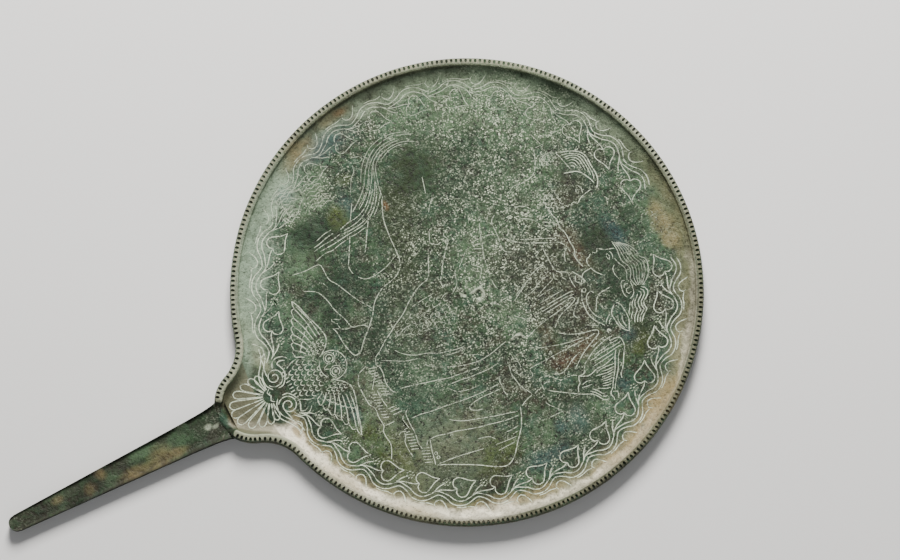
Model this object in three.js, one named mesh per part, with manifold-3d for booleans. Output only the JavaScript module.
// Etruscan hand mirror: one bronze casting, modelled lying on its convex reflecting side.
// A round disc with a notched lip runs down into a short shoulder, and a flat tang grows from that.
// The upper side is slightly sunk inside the lip and carries shallow engraved lines.
// Millimetres, +Z up. Origin: the middle of the disc, on the surface that the mirror lies on.
// +Y points away from the tang, +X to the right when the engraving is read with the tang below.
import * as THREE from "three";
import { mergeVertices } from "three/addons/utils/BufferGeometryUtils.js";
import Module from "manifold-3d";

// Outline, seen from above
const DISC_R = 85;
const SHOULDER_R = 14.2;
const SHOULDER_X = 1.1;
const SHOULDER_Y = -86.4;
const NECK_FILLET = 16.5;

// Section: heights above the resting plane, and distances in from the edge
const REST_R = 45;
const UNDER_RISE = 1.1;
const LOW_CORNER = 1.8;
const CORNER_ROUND = 0.45;
const FLOOR_Z = 2.8;
const COVE_TOP_Z = 5.4;
const COVE_MIDDLE_Z = 3.5;
const COVE_START = 0.25;
const COVE_WIDTH = 5.9;
const SHOULDER_COVE = 0.35;
const NECK_FADE = 6;

// Lip: teeth on its outer half, a smooth ridge on its inner half, a low sill over the tang's root
const LIP_Z = 6.5;
const LIP_WIDTH = 2.9;
const LIP_ROUND = 0.2;
const TOOTH_Z = 6.2;
const NOTCH_Z = 5.1;
const TEETH_WIDTH = 1.6;
const NOTCH_PITCH = 1.757;
const NOTCH_SHARE = 0.5;
const SILL_HALF = 5.2;
const SILL_FADE = 3;
const SILL_DROP = 1.3;

// Tang
const TANG_ROOT_Y = -97.6;
const TANG_TIP_Y = -183.6;
const TANG_ROOT_HALF = 6.2;
const TANG_TIP_HALF = 2.87;
const TANG_FLARE = 1.2;
const TANG_FLARE_LENGTH = 4;
const TANG_LEAN = 1.45;
const TANG_TOP_Z = 4.6;
const TANG_LOW_Z = 1.0;
const TANG_CHAMFER = 0.5;
const TANG_TIP_THICKNESS = 0.75;
const TANG_STATIONS = 9;
const TIP_STEPS = 8;

// Engraved lines
const LINE_HALF = 0.3;
const LINE_DEPTH = 0.3;
const LINE_CLEAR = 0.15;

// Ivy border: leaves hang inwards from a waving stem, one to each unit of a few degrees.
const LEAF_RADIUS = 71.3;
const LEAF_TILT = 25;
const FIRST_LEAF_ANGLE = 15.8;
const RIGHT_IVY = { side: 1, count: 14, step: 10.96 };
const LEFT_IVY = { side: -1, count: 13, step: 12.1 };

// Palmette and volutes at the foot of the scene
const PALMETTE_X = 1.2;
const PALMETTE_Y = -80;
const VOLUTE_GAP = 5.7;
const VOLUTE_RISE = 4.4;
const VOLUTE_R = 3.6;

// Owl
const OWL_X = 1.3;
const OWL_Y = -55;
const OWL_HEAD_R = 5.3;
const OWL_EYE_GAP = 2.65;
const OWL_EYE_R = 1.6;

// Fineness: steps along the smooth rings, and how flat neighbouring faces are joined up
const FLAT_ENOUGH = 0.0008;
const DISC_STEP = 8;
const NECK_STEP = 3.2;

const BRONZE = new THREE.MeshStandardMaterial({ color: 0x5c6a55, roughness: 0.75, metalness: 0.35 });

const wasm = await Module();
wasm.setup();

// ---------------------------------------------------------------- outline of arcs

const DISC = { x: 0, y: 0 };
const SHOULDER = { x: SHOULDER_X, y: SHOULDER_Y };
const TURN = 2 * Math.PI;

function point(x, y) {
  return new THREE.Vector2(x, y);
}

function bearing(from, to) {
  return Math.atan2(to.y - from.y, to.x - from.x);
}

// Middle of the fillet that touches disc and shoulder on one side (+1 right, -1 left)
function filletCentre(side) {
  const fromDisc = DISC_R + NECK_FILLET;
  const fromShoulder = SHOULDER_R + NECK_FILLET;
  const apart = Math.hypot(SHOULDER_X, SHOULDER_Y);
  const along = (fromDisc ** 2 - fromShoulder ** 2 + apart ** 2) / (2 * apart);
  const aside = Math.sqrt(fromDisc ** 2 - along ** 2) * side;
  const ux = SHOULDER_X / apart;
  const uy = SHOULDER_Y / apart;
  return { x: ux * along - uy * aside, y: uy * along + ux * aside };
}

// A bulging arc turns counter-clockwise round its centre, a hollow one clockwise.
function makeArc(centre, radius, from, to, hollow) {
  const turning = hollow ? -1 : 1;
  let sweep = (to - from) % TURN;
  if (sweep * turning < 0) sweep += turning * TURN;
  return { centre, radius, from, sweep, turning, length: Math.abs(sweep) * radius };
}

// The outline runs counter-clockwise from the middle of the tang's root.
function outlineArcs() {
  const right = filletCentre(1);
  const left = filletCentre(-1);
  return [
    makeArc(SHOULDER, SHOULDER_R, -TURN / 4, bearing(SHOULDER, right), false),
    makeArc(right, NECK_FILLET, bearing(right, SHOULDER), bearing(right, DISC), true),
    makeArc(DISC, DISC_R, bearing(DISC, right), bearing(DISC, left), false),
    makeArc(left, NECK_FILLET, bearing(left, DISC), bearing(left, SHOULDER), true),
    makeArc(SHOULDER, SHOULDER_R, bearing(SHOULDER, left), -TURN / 4, false),
  ];
}

const ARCS = outlineArcs();
const PERIMETER = ARCS.reduce((sum, arc) => sum + arc.length, 0);
const NECK_RUN = ARCS[0].length + ARCS[1].length;

// Place at a distance run along the outline, with the direction into the metal
function outlineAt(run) {
  let rest = run;
  let index = 0;
  while (index < ARCS.length - 1 && rest > ARCS[index].length) {
    rest -= ARCS[index].length;
    index += 1;
  }
  const arc = ARCS[index];
  const angle = arc.from + (arc.sweep * rest) / arc.length;
  const cos = Math.cos(angle);
  const sin = Math.sin(angle);
  return {
    x: arc.centre.x + arc.radius * cos,
    y: arc.centre.y + arc.radius * sin,
    inX: -arc.turning * cos,
    inY: -arc.turning * sin,
  };
}

function smooth(low, high, value) {
  return THREE.MathUtils.smoothstep(value, low, high);
}

// Distance along the outline from the middle of the tang's root, either way round
function fromRoot(run) {
  return Math.min(run, PERIMETER - run);
}

// The lip sinks to a low sill where it crosses the tang's root.
function lipShare(run) {
  return smooth(SILL_HALF, SILL_HALF + SILL_FADE, fromRoot(run));
}

// The hollow inside the lip is narrow on the shoulder and opens out on the disc.
function coveShare(run) {
  const opening = smooth(ARCS[0].length - NECK_FADE, NECK_RUN + NECK_FADE, fromRoot(run));
  return THREE.MathUtils.lerp(SHOULDER_COVE, 1, opening);
}

// ---------------------------------------------------------------- rings and skin

// Stations along the outline for smooth rings, close together where it bends tightly
function smoothRuns() {
  const runs = [];
  let start = 0;
  for (const arc of ARCS) {
    const step = arc.radius === DISC_R ? DISC_STEP : NECK_STEP;
    const count = Math.ceil(arc.length / step);
    for (let i = 0; i < count; i += 1) runs.push(start + (arc.length * i) / count);
    start += arc.length;
  }
  return runs;
}

// Middles of the notches, evenly spaced from one tang corner round to the other
function notchRuns() {
  const first = SILL_HALF + SILL_FADE;
  const length = PERIMETER - 2 * first;
  const count = Math.round(length / NOTCH_PITCH);
  return Array.from({ length: count }, (_, i) => first + (length * (i + 0.5)) / count);
}

const SMOOTH_RUNS = smoothRuns();
const NOTCH_RUNS = notchRuns();
const SILL_RUNS = SMOOTH_RUNS.filter((run) => fromRoot(run) < SILL_HALF + SILL_FADE);
const TEETH_RUNS = [...NOTCH_RUNS, ...SILL_RUNS].sort((a, b) => a - b);

function byRun(a, b) {
  return a.run - b.run;
}

// One vertex at a run along the outline, a distance in from the edge, at a height
function vertexAt(run, inset, z) {
  const place = outlineAt(run);
  return { run, x: place.x + place.inX * inset, y: place.y + place.inY * inset, z };
}

function smoothRing(inset, z) {
  return SMOOTH_RUNS.map((run) => vertexAt(run, inset, z));
}

// Ring on the lip, at a height that sinks to the sill's over the root
function lipRing(runs, inset, z) {
  return runs.map((run) => vertexAt(run, inset, z - SILL_DROP * (1 - lipShare(run))));
}

// Ring in the hollow: part is 0 at the lip and 1 where the floor begins
function coveRing(part, z) {
  return SMOOTH_RUNS.map((run) => {
    const inset = LIP_WIDTH + COVE_START + COVE_WIDTH * part * coveShare(run);
    const sunk = SILL_DROP * (1 - lipShare(run)) * (1 - part);
    return vertexAt(run, inset, z - sunk);
  });
}

// Outer edge of the lip, with a tooth edge, a notch's bottom and a tooth edge for each notch
function toothedEdge() {
  const half = (NOTCH_PITCH * NOTCH_SHARE) / 2;
  const teeth = NOTCH_RUNS.flatMap((run) => [
    vertexAt(run - half, 0, TOOTH_Z),
    vertexAt(run, 0, NOTCH_Z),
    vertexAt(run + half, 0, TOOTH_Z),
  ]);
  return [...teeth, ...lipRing(SILL_RUNS, 0, TOOTH_Z)].sort(byRun);
}

// Ring of the underside, part of the way from the edge in to the flat resting spot
function underRing(part) {
  return SMOOTH_RUNS.map((run) => {
    const edge = vertexAt(run, LOW_CORNER, 0);
    const size = Math.hypot(edge.x, edge.y);
    const radius = THREE.MathUtils.lerp(size, REST_R, part);
    const z = UNDER_RISE * (1 - part);
    return { run, x: (edge.x * radius) / size, y: (edge.y * radius) / size, z };
  });
}

// Collects triangles of one closed skin
function makeSkin() {
  const positions = [];
  const put = (...corners) => corners.forEach((corner) => positions.push(corner.x, corner.y, corner.z));
  // Joins two rings of any two counts, the second one nearer the middle of the engraved side
  const stitch = (outer, inner) => {
    let o = 0;
    let i = 0;
    while (o < outer.length || i < inner.length) {
      const nextOuter = o < outer.length ? runOf(outer, o + 1) : Infinity;
      const nextInner = i < inner.length ? runOf(inner, i + 1) : Infinity;
      const here = [outer[o % outer.length], inner[i % inner.length]];
      if (nextInner <= nextOuter) {
        i += 1;
        put(here[0], inner[i % inner.length], here[1]);
      } else {
        o += 1;
        put(here[0], outer[o % outer.length], here[1]);
      }
    }
  };
  // Closes a flat ring, facing up or down
  const close = (ring, up) => {
    const contour = ring.map((corner) => new THREE.Vector2(corner.x, corner.y));
    for (const [a, b, c] of THREE.ShapeUtils.triangulateShape(contour, [])) {
      if (up) put(ring[a], ring[b], ring[c]);
      else put(ring[a], ring[c], ring[b]);
    }
  };
  return { positions, stitch, close };
}

// Run of a ring's vertex, where the one past the last closes the loop
function runOf(ring, index) {
  return index < ring.length ? ring[index].run : PERIMETER;
}

function skinGeometry(positions) {
  const geometry = new THREE.BufferGeometry();
  geometry.setAttribute("position", new THREE.Float32BufferAttribute(positions, 3));
  return geometry;
}

function discAndShoulder() {
  const edge = toothedEdge();
  const floor = coveRing(1, FLOOR_Z);
  const rest = underRing(1);
  const rings = [
    rest,
    underRing(0),
    smoothRing(CORNER_ROUND, UNDER_RISE + CORNER_ROUND),
    smoothRing(0, UNDER_RISE + LOW_CORNER),
    edge,
    lipRing(TEETH_RUNS, TEETH_WIDTH, TOOTH_Z),
    lipRing(SMOOTH_RUNS, (TEETH_WIDTH + LIP_WIDTH) / 2, LIP_Z),
    lipRing(SMOOTH_RUNS, LIP_WIDTH, LIP_Z - LIP_ROUND),
    coveRing(0, COVE_TOP_Z),
    coveRing(0.5, COVE_MIDDLE_Z),
    floor,
  ];
  const skin = makeSkin();
  skin.close(rest, false);
  for (let i = 1; i < rings.length; i += 1) skin.stitch(rings[i - 1], rings[i]);
  skin.close(floor, true);
  return skinGeometry(skin.positions);
}

// ---------------------------------------------------------------- tang

function tangCentre(part) {
  return TANG_LEAN * (1 - part);
}

function tangHalf(part) {
  const along = part * (TANG_ROOT_Y - TANG_TIP_Y);
  const flare = TANG_FLARE * Math.exp(-along / TANG_FLARE_LENGTH);
  return THREE.MathUtils.lerp(TANG_ROOT_HALF, TANG_TIP_HALF, part) + flare;
}

// Seen from above: straight tapering sides, flared at the root, and a round tip
function tangShape() {
  const length = TANG_ROOT_Y - TANG_TIP_Y;
  const tipPart = 1 - TANG_TIP_HALF / length;
  const parts = Array.from({ length: TANG_STATIONS + 1 }, (_, i) => tipPart * (i / TANG_STATIONS) ** 2);
  const side = (sign) => parts.map((part) => {
    return point(tangCentre(part) + sign * tangHalf(part), TANG_ROOT_Y - length * part);
  });
  const tip = Array.from({ length: TIP_STEPS - 1 }, (_, i) => {
    const angle = Math.PI + (Math.PI * (i + 1)) / TIP_STEPS;
    const half = tangHalf(tipPart);
    const middleY = TANG_ROOT_Y - length * tipPart;
    return point(half * Math.cos(angle), middleY + TANG_TIP_HALF * Math.sin(angle));
  });
  return new THREE.Shape([...side(-1), ...tip, ...side(1).reverse()]);
}

// The tang thins towards its tip, where its underside also lifts a little.
function tangGeometry() {
  const depth = TANG_TOP_Z - TANG_LOW_Z - 2 * TANG_CHAMFER;
  const geometry = new THREE.ExtrudeGeometry(tangShape(), {
    depth,
    bevelEnabled: true,
    bevelSegments: 1,
    bevelThickness: TANG_CHAMFER,
    bevelSize: TANG_CHAMFER,
    bevelOffset: -TANG_CHAMFER,
  });
  const middle = (TANG_TOP_Z + TANG_LOW_Z) / 2;
  const position = geometry.attributes.position;
  for (let i = 0; i < position.count; i += 1) {
    const part = (TANG_ROOT_Y - position.getY(i)) / (TANG_ROOT_Y - TANG_TIP_Y);
    const thickness = THREE.MathUtils.lerp(1, TANG_TIP_THICKNESS, THREE.MathUtils.clamp(part, 0, 1));
    const fromMiddle = position.getZ(i) - depth / 2;
    position.setZ(i, middle + fromMiddle * thickness);
  }
  return geometry;
}

// ---------------------------------------------------------------- joining and cutting

function toSolid(geometry) {
  geometry.deleteAttribute("normal");
  geometry.deleteAttribute("uv");
  const merged = mergeVertices(geometry, 1e-4);
  const vertProperties = new Float32Array(merged.attributes.position.array);
  const triVerts = new Uint32Array(merged.index.array);
  return new wasm.Manifold(new wasm.Mesh({ numProp: 3, vertProperties, triVerts }));
}

function toGeometry(solid) {
  const mesh = solid.getMesh();
  const geometry = new THREE.BufferGeometry();
  geometry.setAttribute("position", new THREE.BufferAttribute(new Float32Array(mesh.vertProperties), 3));
  geometry.setIndex(new THREE.BufferAttribute(new Uint32Array(mesh.triVerts), 1));
  return geometry;
}

// ---------------------------------------------------------------- height of the engraved side

// How far a place lies in from the outline, and where along the outline it is nearest
function nearestEdge(x, y) {
  let best = { inset: Infinity, run: 0 };
  let start = 0;
  for (const arc of ARCS) {
    const angle = Math.atan2(y - arc.centre.y, x - arc.centre.x);
    let turned = ((angle - arc.from) * arc.turning) % TURN;
    if (turned < 0) turned += TURN;
    const inset = (arc.radius - Math.hypot(x - arc.centre.x, y - arc.centre.y)) * arc.turning;
    const onArc = turned <= Math.abs(arc.sweep);
    if (onArc && inset >= 0 && inset < best.inset) best = { inset, run: start + turned * arc.radius };
    start += arc.length;
  }
  return best;
}

// Height of floor and hollow, without the lip
function surfaceZ(x, y) {
  const { inset, run } = nearestEdge(x, y);
  const part = (inset - LIP_WIDTH - COVE_START) / (COVE_WIDTH * coveShare(run));
  const heights = [COVE_TOP_Z, COVE_MIDDLE_Z, FLOOR_Z];
  const place = THREE.MathUtils.clamp(part * 2, 0, 2);
  const low = Math.min(Math.floor(place), 1);
  return THREE.MathUtils.lerp(heights[low], heights[low + 1], place - low);
}

// ---------------------------------------------------------------- engraved lines

// Smooth line through a few places, as so many straight steps
function curve(steps, ...places) {
  const spline = new THREE.SplineCurve(places.map(([x, y]) => point(x, y)));
  return spline.getPoints(steps);
}

function arcLine(steps, centreX, centreY, radius, from, to) {
  return Array.from({ length: steps + 1 }, (_, i) => {
    const angle = THREE.MathUtils.degToRad(from + ((to - from) * i) / steps);
    return point(centreX + radius * Math.cos(angle), centreY + radius * Math.sin(angle));
  });
}

// Place on the ivy border: degrees up one side from the shoulder, and distance from the middle
function ivyPlace(side, degrees, radius) {
  const angle = THREE.MathUtils.degToRad(degrees);
  return [side * radius * Math.sin(angle), -radius * Math.cos(angle)];
}

// Heart-shaped leaf: each half runs from the notch round its lobe to the tip.
function leafLines(side, degrees) {
  const half = [[0, 0], [-1.3, 2], [0.9, 3.9], [2.8, 2.5], [7.1, 0]];
  const [notchX, notchY] = ivyPlace(side, degrees, LEAF_RADIUS);
  const heading = THREE.MathUtils.degToRad(degrees + LEAF_TILT);
  const turn = (along, across) => [
    notchX + side * (along * Math.cos(heading) - across * Math.sin(heading)),
    notchY + along * Math.sin(heading) + across * Math.cos(heading),
  ];
  return [-1, 1].map((hand) => curve(4, ...half.map(([along, across]) => turn(along, hand * across))));
}

// One wave of the stem, with the stalk that carries the leaf
function stemLines(side, degrees, step) {
  const wave = [[-1.05, 77.4], [-0.68, 75], [-0.45, 73.3], [-0.22, 74.6], [-0.05, 77.4]];
  const stalk = [[-0.45, 73.3], [-0.2, 72.3], [0, LEAF_RADIUS]];
  const place = ([part, radius]) => ivyPlace(side, degrees + part * step, radius);
  return [curve(4, ...wave.map(place)), curve(2, ...stalk.map(place))];
}

function ivyLines({ side, count, step }) {
  const angles = Array.from({ length: count }, (_, i) => FIRST_LEAF_ANGLE + i * step);
  return angles.flatMap((degrees, i) => [
    ...leafLines(side, degrees),
    ...(i > 0 ? stemLines(side, degrees, step) : []),
  ]);
}

// Petals fan out from a small hub, the longest straight down.
function palmetteLines() {
  const petals = [[0, 15.6], [13, 15], [30, 13.2], [48, 11], [66, 9.8], [83, 8.8]];
  const petal = (degrees, length) => {
    const angle = THREE.MathUtils.degToRad(degrees - 90);
    const turn = (along, across) => [
      PALMETTE_X + along * Math.cos(angle) - across * Math.sin(angle),
      PALMETTE_Y + along * Math.sin(angle) + across * Math.cos(angle),
    ];
    const bulge = length - 2.4;
    return curve(4, turn(3, 0.3), turn(bulge, 1.25), turn(length, 0), turn(bulge, -1.25), turn(3, -0.3));
  };
  const others = petals.slice(1).map(([degrees, length]) => [-degrees, length]);
  return [...petals, ...others].map(([degrees, length]) => petal(degrees, length));
}

// Two spirals rise from the hub, and a scroll leaves each outwards.
function voluteLines(side) {
  const centreX = PALMETTE_X + side * VOLUTE_GAP;
  const centreY = PALMETTE_Y + VOLUTE_RISE;
  const spiral = Array.from({ length: 12 }, (_, i) => {
    const angle = THREE.MathUtils.degToRad(240 - 50 * i);
    const radius = VOLUTE_R * (1 - 0.073 * i);
    return point(centreX + side * radius * Math.cos(angle), centreY + radius * Math.sin(angle));
  });
  const at = (x, y) => [centreX + side * x, centreY + y];
  return [
    spiral,
    curve(6, at(1.6, 3.1), at(3.2, 2.2), at(4.4, 3.4), at(3.9, 5.8)),
    curve(6, at(-3.3, -3.5), at(0, -4.4), at(4, -3.4), at(7.5, -0.4), at(11, 0.9)),
  ];
}

// Owl with spread wings, seen from the front
function owlLines() {
  const eyes = [-1, 1].map((side) => arcLine(7, OWL_X + side * OWL_EYE_GAP, OWL_Y, OWL_EYE_R, 20, 340));
  const head = arcLine(9, OWL_X, OWL_Y, OWL_HEAD_R, -40, 220);
  const wings = [-1, 1].flatMap((side) => owlWing(side));
  return [head, ...eyes, ...wings];
}

function owlWing(side) {
  const at = (x, y) => [OWL_X + side * x, OWL_Y + y];
  const feathers = Array.from({ length: 4 }, (_, i) => {
    const reach = 27 - 3.3 * i;
    return curve(1, at(11 - i, -0.3 - 1.7 * i), at(reach - 1, -2.4 - 1.6 * i));
  });
  return [
    curve(6, at(5.4, -2), at(8, 1.6), at(13, 2.9), at(20, 1.2), at(27.4, -1.6)),
    curve(5, at(27.4, -1.6), at(21, -5.6), at(14, -8.6), at(7.6, -10.2)),
    curve(3, at(6.9, -5), at(7.6, -10.2), at(6.4, -15)),
    ...feathers,
  ];
}

// Long fringed dress of the standing woman on the right
function dressLines() {
  return [
    curve(6, [28.4, 45.7], [33, 47.3], [39.8, 45.3]),
    curve(6, [18.5, 36.9], [22, 35.3], [26.5, 34.7], [31.5, 36], [34.6, 38.4]),
    curve(5, [17.5, 35], [17.8, 26], [19.6, 15]),
    curve(6, [19.6, 33.2], [21.6, 31], [23.3, 26], [26.6, 21.8]),
    curve(6, [20.6, 29.5], [22.6, 20], [25.1, 11.3]),
    curve(7, [29, 22], [32, 27], [34.4, 35.6], [38.2, 28.6], [43.6, 20.2]),
    curve(3, [34.7, 33], [35.1, 20], [35.3, 6.6]),
    curve(4, [28.5, 11], [32.5, 19], [34.2, 28.5]),
    curve(6, [38.3, 35], [41.4, 28], [45, 24.3], [46, 21.4], [51, 18.4]),
    curve(5, [44, 19.6], [43.8, 15], [40.4, 11], [39.4, 6.8]),
    curve(3, [57.5, 30], [50, 15.4], [44.6, 8.4]),
    curve(5, [17.4, -7], [15.4, -17], [12.5, -25], [7, -33]),
    curve(5, [26.6, -9], [25, -18], [22, -29], [20.7, -38]),
    curve(5, [35, -5], [34.4, -18], [32.8, -31], [31.5, -38.6]),
    curve(5, [48.5, -4], [46.6, -15], [43, -28], [41.2, -36]),
    curve(7, [45.6, -2.4], [53, -6.6], [60.4, -12.8], [61.2, -19.2], [55, -31], [50.8, -38.9]),
    curve(3, [54, -20], [51.8, -30], [50.8, -38.9]),
    curve(4, [8, -41], [14, -41.2], [21, -39.4]),
    curve(6, [28, -38.6], [29.4, -40.2], [36, -40], [43, -40.5]),
    curve(2, [41, -36], [45, -37.5], [50.6, -38.8]),
    curve(1, [16.5, -45.2], [24.4, -44.7]),
    curve(4, [8, -46.8], [11, -49.6], [20, -49.8], [22.4, -48.6]),
  ];
}

// Seated man on the left, bent leg forward, with a rolled cloak over his arm
function manLines() {
  const cloakFolds = Array.from({ length: 4 }, (_, i) => {
    const aside = 1.7 * i;
    const bend = [-61.5 + aside, -6 + aside / 2];
    return curve(4, [-64 + aside, 4], bend, [-53, -14.5 + aside], [-43 + aside, -22]);
  });
  return [
    curve(5, [-40, -14], [-30, -15.2], [-20.5, -15.8], [-16.8, -20]),
    curve(6, [-16.8, -20], [-13.4, -29], [-4.8, -37], [1.4, -43.2], [2, -46.8]),
    curve(5, [-23.6, -16], [-21, -22.6], [-20.6, -29], [-23, -32.4]),
    curve(4, [-37.3, -28], [-31, -32], [-24.6, -33.6]),
    curve(7, [-10.5, -32.8], [-19, -37.8], [-27, -42], [-33, -41.8]),
    curve(7, [-26, -49], [-23, -46.6], [-12, -43.8], [-7.4, -42.7], [-5, -37.6]),
    curve(8, [-27, -1], [-13, -8.4], [-9.8, -15], [-3.6, -24], [5.4, -39], [17.6, -46.8]),
    curve(4, [-20, 3], [-13, -2.4], [-4, -10.6]),
    curve(5, [2, -46.8], [-3, -48], [-10, -48.6]),
    curve(8, [-10.6, 40.2], [-8, 41.3], [-4.6, 40.6], [0, 41.4], [6.4, 40.3], [11.6, 41.3]),
    curve(5, [2.8, 39.6], [-1, 37], [-5, 29.6], [-11.6, 20.4]),
    curve(4, [-17, 14.3], [-8, 11.3], [4, 10]),
    curve(3, [-0.6, 31.6], [8.3, 31.8], [10.6, 35.4]),
    curve(5, [-35, 45.6], [-28.6, 43], [-25.8, 38], [-25, 29]),
    ...cloakFolds,
  ];
}

// Rows of hair and the bands round both heads
function hairLines() {
  const domed = arcLine(6, -20.5, 53, 8.6, 20, 190);
  const curls = arcLine(6, 17.5, 53.5, 9.4, 10, 170);
  const tresses = Array.from({ length: 3 }, (_, i) => {
    const top = 57 - 1.5 * i;
    return curve(5, [27, top], [29.4, top + 0.3], [32.2, top - 3.1], [36, top - 3.3], [38.8, top - 6.9]);
  });
  return [domed, curls, ...tresses];
}

// Sideways step at a bend that keeps the bar's sides straight on both of its stretches
function mitre(before, here, after) {
  const ahead = (after ?? here).clone().sub(after ? here : before).normalize();
  const behind = (before ? here : after).clone().sub(before ?? here).normalize();
  const middle = ahead.clone().add(behind).normalize();
  return point(-middle.y, middle.x).divideScalar(middle.dot(ahead));
}

// A V-shaped bar along a line: taking it away leaves an engraved groove.
function grooveSolid(line) {
  const widest = (LINE_HALF * (LINE_DEPTH + LINE_CLEAR)) / LINE_DEPTH;
  const sections = line.map((here, i) => {
    const aside = mitre(line[i - 1], here, line[i + 1]).multiplyScalar(widest);
    const z = surfaceZ(here.x, here.y);
    return [
      [here.x + aside.x, here.y + aside.y, z + LINE_CLEAR],
      [here.x, here.y, z - LINE_DEPTH],
      [here.x - aside.x, here.y - aside.y, z + LINE_CLEAR],
    ];
  });
  const positions = [];
  const put = (...corners) => corners.forEach((corner) => positions.push(...corner));
  const first = sections[0];
  const last = sections[sections.length - 1];
  put(first[0], first[1], first[2]);
  put(last[0], last[2], last[1]);
  for (let i = 1; i < sections.length; i += 1) {
    const a = sections[i - 1];
    const b = sections[i];
    for (let side = 0; side < 3; side += 1) {
      const next = (side + 1) % 3;
      put(a[side], b[side], b[next]);
      put(a[side], b[next], a[next]);
    }
  }
  return toSolid(skinGeometry(positions));
}

function engravedLines() {
  return [
    ...ivyLines(RIGHT_IVY),
    ...ivyLines(LEFT_IVY),
    ...palmetteLines(),
    ...voluteLines(1),
    ...voluteLines(-1),
    ...owlLines(),
    ...dressLines(),
    ...manLines(),
    ...hairLines(),
  ];
}

function makeMirror() {
  let solid = toSolid(discAndShoulder()).add(toSolid(tangGeometry()));
  for (const line of engravedLines()) solid = solid.subtract(grooveSolid(line));
  solid = solid.asOriginal().simplify(FLAT_ENOUGH);
  const mesh = new THREE.Mesh(toGeometry(solid), BRONZE);
  mesh.name = "mirror";
  return mesh;
}

const mirror = new THREE.Group();
mirror.add(makeMirror());

export default mirror;
